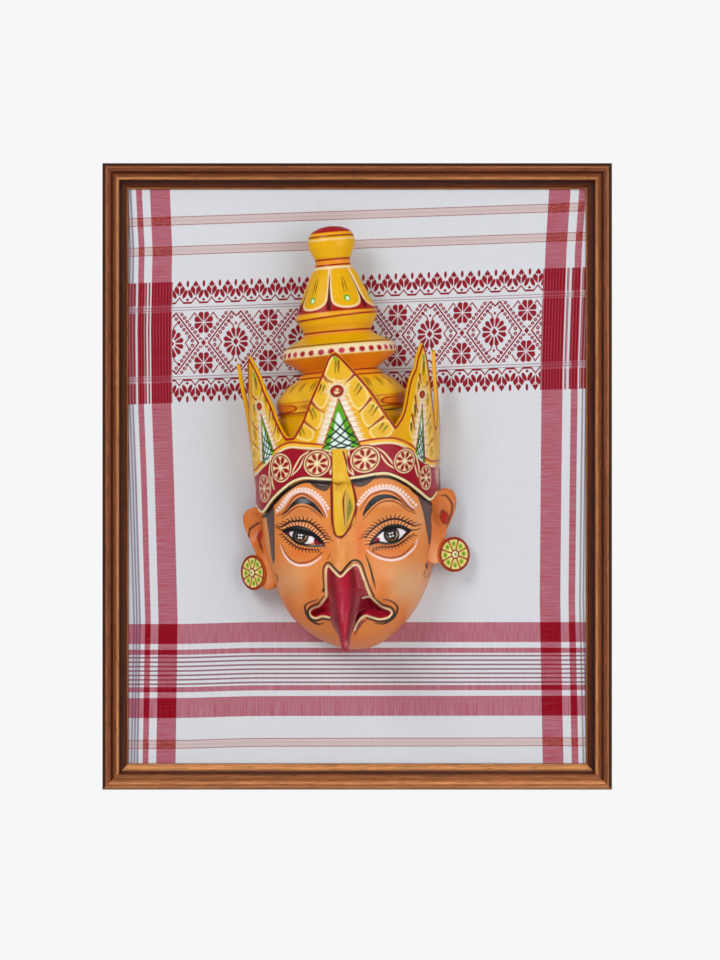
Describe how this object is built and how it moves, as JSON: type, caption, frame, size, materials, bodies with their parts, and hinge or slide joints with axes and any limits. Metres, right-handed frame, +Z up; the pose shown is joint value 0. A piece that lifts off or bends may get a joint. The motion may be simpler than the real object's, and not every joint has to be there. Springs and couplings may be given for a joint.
{
  "type": "framed majuli mask",
  "caption": "Wooden wall frame with a painted beaked theatre mask and crown mounted on a stretched woven cloth.",
  "frame": {"origin": "middle of the top rail's back face, where the frame hangs on the wall", "axes": "+X to the right as seen from the front, +Y into the wall, +Z up"},
  "size_m": [0.61, 0.1563, 0.75],
  "materials": {
    "frame_wood": "stained and varnished, satin",
    "board_ply": "bare plywood",
    "woven_cloth": "plain cotton weave with red woven borders",
    "painted_skin": "painted orange skin, satin",
    "painted_crown": "painted yellow with red and cream lines, satin",
    "painted_earring": "painted cream and red, satin"
  },
  "bodies": {
    "root": {"frame_top_rail": "frame_wood", "frame_right_rail": "frame_wood", "frame_bottom_rail": "frame_wood", "frame_left_rail": "frame_wood", "backing_board": "board_ply", "gamosa_cloth": "woven_cloth", "mask_face": "painted_skin", "crown_collar": "painted_crown", "crown_tower": "painted_crown", "earring_left": "painted_earring", "earring_right": "painted_earring"}
  },
  "joints": []
}
